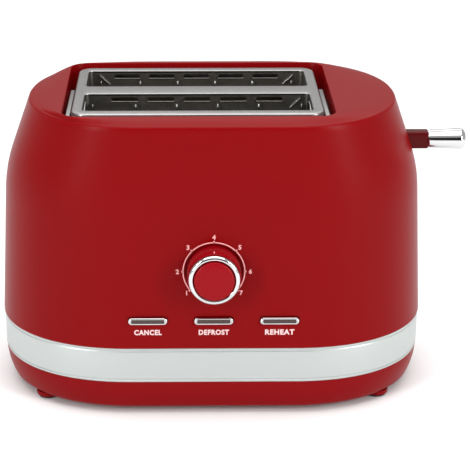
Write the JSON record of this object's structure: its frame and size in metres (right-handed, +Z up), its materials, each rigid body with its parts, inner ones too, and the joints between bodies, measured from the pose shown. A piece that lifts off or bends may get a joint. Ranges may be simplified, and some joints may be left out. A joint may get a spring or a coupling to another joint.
{
  "type": "pop up toaster",
  "caption": "Barrel-bodied pop-up toaster with long bread slots in a raised frame, a sprung lever carriage, browning dial, push buttons and a slide-out crumb tray.",
  "frame": {"origin": "middle of the overall footprint on the counter surface, dial and lever included", "axes": "+Z up, front with the dial towards -Y, lever towards +X along the longest side"},
  "size_m": [0.2948, 0.1814, 0.1885],
  "materials": {
    "red_shell": "satin-gloss moulded red",
    "red_base": "satin-gloss moulded red",
    "red_gloss": "glossy moulded red",
    "silver_band": "satin silver lacquer",
    "foot_rubber": "matt black rubber",
    "screw_zinc": "zinc plated",
    "frame_steel": "fine brushed, bright rolled edges",
    "chassis_zinc": "galvanised sheet",
    "mica_sheet": "speckled mica board",
    "heater_ribbon": "oxidised resistance ribbon",
    "polished_rod": "ground and polished",
    "spring_steel": "drawn wire",
    "magnet_iron": "bare soft iron",
    "copper_coil": "enamelled copper winding",
    "circuit_board": "green solder mask",
    "black_moulding": "fine-grained black",
    "white_moulding": "off-white nylon",
    "rack_steel": "bare steel",
    "guard_wire": "bright plated wire",
    "bright_chrome": "mirror chrome",
    "tray_steel": "pressed steel sheet"
  },
  "bodies": {
    "housing": {"body_shell": "red_shell", "trim_band": "silver_band", "base_housing": "red_base", "feet": "red_base", "foot_pads": "foot_rubber", "base_screws": "screw_zinc", "slot_frame": "frame_steel", "left_bulkhead": "chassis_zinc", "right_bulkhead": "chassis_zinc", "front_reflector": "chassis_zinc", "rear_reflector": "chassis_zinc", "heater_front": "mica_sheet", "heater_mid_front": "mica_sheet", "heater_mid_rear": "mica_sheet", "heater_rear": "mica_sheet", "heating_ribbons": "heater_ribbon", "guide_rod": "polished_rod", "rod_brackets": "chassis_zinc", "lift_spring": "spring_steel", "electromagnet_core": "magnet_iron", "electromagnet_coil": "copper_coil", "power_board": "circuit_board", "power_parts": "black_moulding", "terminal_block": "white_moulding", "control_board": "circuit_board", "board_standoffs": "red_base", "shade_pot": "black_moulding", "tact_switches": "black_moulding", "button_guide": "black_moulding", "cord_gland": "black_moulding"},
    "carriage": {"carriage_plate": "chassis_zinc", "carriage_bush": "white_moulding", "bread_rack_front": "rack_steel", "bread_rack_rear": "rack_steel", "armature_plate": "magnet_iron", "lever_arm": "chassis_zinc", "lever_neck": "red_gloss", "lever_knob": "bright_chrome"},
    "dial": {"dial_shaft": "chassis_zinc", "dial_knob": "red_gloss", "dial_ring": "bright_chrome", "dial_cap": "red_gloss"},
    "cancel_key": {"cancel_button": "bright_chrome"},
    "defrost_key": {"defrost_button": "bright_chrome"},
    "reheat_key": {"reheat_button": "bright_chrome"},
    "crumb_drawer": {"crumb_tray": "tray_steel", "tray_handle": "red_base"},
    "front_outer_guard": {"guard_front_outer": "guard_wire"},
    "front_inner_guard": {"guard_front_inner": "guard_wire"},
    "rear_inner_guard": {"guard_rear_inner": "guard_wire"},
    "rear_outer_guard": {"guard_rear_outer": "guard_wire"}
  },
  "joints": [
    {"name": "lever_slide", "type": "slide", "parent": "housing", "child": "carriage", "axis": [0, 0, 1], "range_m": [-0.075, 0.012], "stiffness_N_per_m": 110, "deforming": ["lift_spring"]},
    {"name": "front_outer_guard_tilt", "type": "hinge", "parent": "housing", "child": "front_outer_guard", "pos_m": [-0.0224, -0.03885, 0.03], "axis": [1, 0, 0], "range_deg": [-2.61, 0.42]},
    {"name": "front_inner_guard_tilt", "type": "hinge", "parent": "housing", "child": "front_inner_guard", "pos_m": [-0.0224, -0.00635, 0.03], "axis": [1, 0, 0], "range_deg": [-0.42, 2.61]},
    {"name": "rear_inner_guard_tilt", "type": "hinge", "parent": "housing", "child": "rear_inner_guard", "pos_m": [-0.0224, 0.01575, 0.03], "axis": [1, 0, 0], "range_deg": [-2.61, 0.42]},
    {"name": "rear_outer_guard_tilt", "type": "hinge", "parent": "housing", "child": "rear_outer_guard", "pos_m": [-0.0224, 0.04825, 0.03], "axis": [1, 0, 0], "range_deg": [-0.42, 2.61]},
    {"name": "dial_turn", "type": "hinge", "parent": "housing", "child": "dial", "pos_m": [-0.0131, -0.0793, 0.0963], "axis": [0, 1, 0], "range_deg": [-135, 135]},
    {"name": "cancel_press", "type": "slide", "parent": "housing", "child": "cancel_key", "axis": [0, 1, 0], "range_m": [0, 0.0015], "stiffness_N_per_m": 400, "springref_m": -0.0005},
    {"name": "defrost_press", "type": "slide", "parent": "housing", "child": "defrost_key", "axis": [0, 1, 0], "range_m": [0, 0.0015], "stiffness_N_per_m": 400, "springref_m": -0.0005},
    {"name": "reheat_press", "type": "slide", "parent": "housing", "child": "reheat_key", "axis": [0, 1, 0], "range_m": [0, 0.0015], "stiffness_N_per_m": 400, "springref_m": -0.0005},
    {"name": "tray_pull", "type": "slide", "parent": "housing", "child": "crumb_drawer", "axis": [0, 1, 0], "range_m": [0, 0.16]}
  ],
  "couplings": [
    {"joint": "front_outer_guard_tilt", "follows": "lever_slide", "rad_per_m": 0.605},
    {"joint": "front_inner_guard_tilt", "follows": "lever_slide", "rad_per_m": -0.605},
    {"joint": "rear_inner_guard_tilt", "follows": "lever_slide", "rad_per_m": 0.605},
    {"joint": "rear_outer_guard_tilt", "follows": "lever_slide", "rad_per_m": -0.605}
  ]
}
